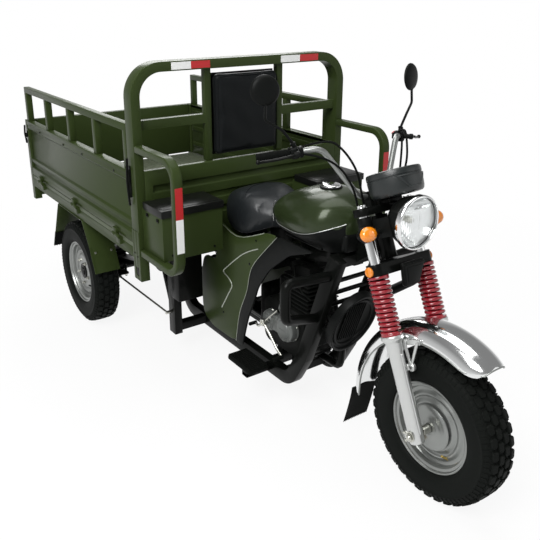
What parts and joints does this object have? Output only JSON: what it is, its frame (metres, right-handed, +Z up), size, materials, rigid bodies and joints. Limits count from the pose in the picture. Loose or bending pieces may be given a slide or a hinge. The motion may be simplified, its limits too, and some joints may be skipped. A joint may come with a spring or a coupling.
{
  "type": "cargo motor tricycle",
  "caption": "Open cargo tricycle with a motorcycle front end, an exposed engine, a saddle and a hollow rear load bed with drop sides, a tailgate and a hoop.",
  "frame": {"origin": "on the ground under the middle of the vehicle's length and width", "axes": "+X forward, +Y to the vehicle's left, +Z up"},
  "size_m": [3.049, 1.168, 1.4646],
  "materials": {
    "olive_paint": "satin",
    "tank_paint": "gloss",
    "black_paint": "satin",
    "chrome": "polished",
    "silver_metal": "satin",
    "zinc_metal": "plated",
    "red_paint": "gloss",
    "black_plastic": "matte",
    "soft_rubber": "matte",
    "amber_plastic": "gloss",
    "red_plastic": "gloss",
    "clear_glass": "clear",
    "tyre_rubber": "matte",
    "engine_metal": "painted",
    "cover_metal": "painted",
    "black_vinyl": "soft"
  },
  "bodies": {
    "chassis": {"main_frame": "black_paint", "engine": "engine_metal", "engine_covers": "cover_metal", "exhaust": "black_paint", "grille_disc": "black_paint", "crash_bars": "black_paint", "footrests": "soft_rubber", "foot_controls": "zinc_metal", "fuel_tank": "tank_paint", "tank_trim": "black_plastic", "filler_cap": "chrome", "seat": "black_vinyl", "body_panels": "olive_paint", "panel_arches": "black_plastic", "brake_rods": "black_paint", "battery_box": "black_paint", "bed_frame": "olive_paint", "bed_floor": "olive_paint", "bed_front_wall": "olive_paint", "hoop": "olive_paint", "backrest": "black_vinyl", "side_guards": "olive_paint", "toolboxes": "olive_paint", "rear_mudguards": "olive_paint", "rear_axle": "black_paint", "leaf_springs": "black_paint", "drive_shaft": "black_paint", "tail_lamps": "red_plastic"},
    "steering": {"triple_clamps": "black_paint", "fork_tubes": "chrome", "fork_sliders": "silver_metal", "fork_springs": "red_paint", "front_axle": "silver_metal", "handlebar": "chrome", "hand_controls": "soft_rubber", "control_cables": "soft_rubber", "mirrors": "black_plastic", "instrument_pod": "black_plastic", "headlamp_shell": "black_paint", "headlamp_rim": "chrome", "headlamp_lens": "clear_glass", "amber_lenses": "amber_plastic", "horn_cover": "black_plastic", "front_fender": "chrome", "fender_stays": "silver_metal", "fender_flap": "soft_rubber"},
    "front_wheel": {"front_tyre": "tyre_rubber", "front_rim": "silver_metal", "front_hub": "silver_metal"},
    "rear_wheel_right": {"rear_tyre_right": "tyre_rubber", "rear_rim_right": "silver_metal", "rear_hub_right": "black_paint"},
    "side_gate_right": {"side_gate_right": "olive_paint"},
    "toolbox_lid_right": {"toolbox_lid_right": "black_paint"},
    "rear_wheel_left": {"rear_tyre_left": "tyre_rubber", "rear_rim_left": "silver_metal", "rear_hub_left": "black_paint"},
    "side_gate_left": {"side_gate_left": "olive_paint"},
    "toolbox_lid_left": {"toolbox_lid_left": "black_paint"},
    "tailgate": {"tailgate": "olive_paint"}
  },
  "joints": [
    {"name": "steering_turn", "type": "hinge", "parent": "chassis", "child": "steering", "pos_m": [0.92295, 0, 0.89159], "axis": [-0.4067, 0, 0.9135], "range_deg": [-40, 40]},
    {"name": "front_wheel_spin", "type": "hinge", "parent": "steering", "child": "front_wheel", "pos_m": [1.2445, 0, 0.28], "axis": [0, 1, 0], "continuous": true},
    {"name": "rear_wheel_spin_right", "type": "hinge", "parent": "chassis", "child": "rear_wheel_right", "pos_m": [-0.8155, -0.4925, 0.28], "axis": [0, 1, 0], "continuous": true},
    {"name": "side_gate_drop_right", "type": "hinge", "parent": "chassis", "child": "side_gate_right", "pos_m": [-0.7485, -0.575, 0.686], "axis": [1, 0, 0], "range_deg": [0, 170]},
    {"name": "toolbox_lid_lift_right", "type": "hinge", "parent": "chassis", "child": "toolbox_lid_right", "pos_m": [0.0465, -0.399, 0.889], "axis": [0, -1, 0], "range_deg": [0, 90]},
    {"name": "rear_wheel_spin_left", "type": "hinge", "parent": "chassis", "child": "rear_wheel_left", "pos_m": [-0.8155, 0.4925, 0.28], "axis": [0, 1, 0], "continuous": true},
    {"name": "side_gate_drop_left", "type": "hinge", "parent": "chassis", "child": "side_gate_left", "pos_m": [-0.7485, 0.575, 0.686], "axis": [-1, 0, 0], "range_deg": [0, 170]},
    {"name": "toolbox_lid_lift_left", "type": "hinge", "parent": "chassis", "child": "toolbox_lid_left", "pos_m": [0.0465, 0.399, 0.889], "axis": [0, -1, 0], "range_deg": [0, 90]},
    {"name": "tailgate_drop", "type": "hinge", "parent": "chassis", "child": "tailgate", "pos_m": [-1.5155, 0, 0.686], "axis": [0, -1, 0], "range_deg": [0, 170]}
  ]
}
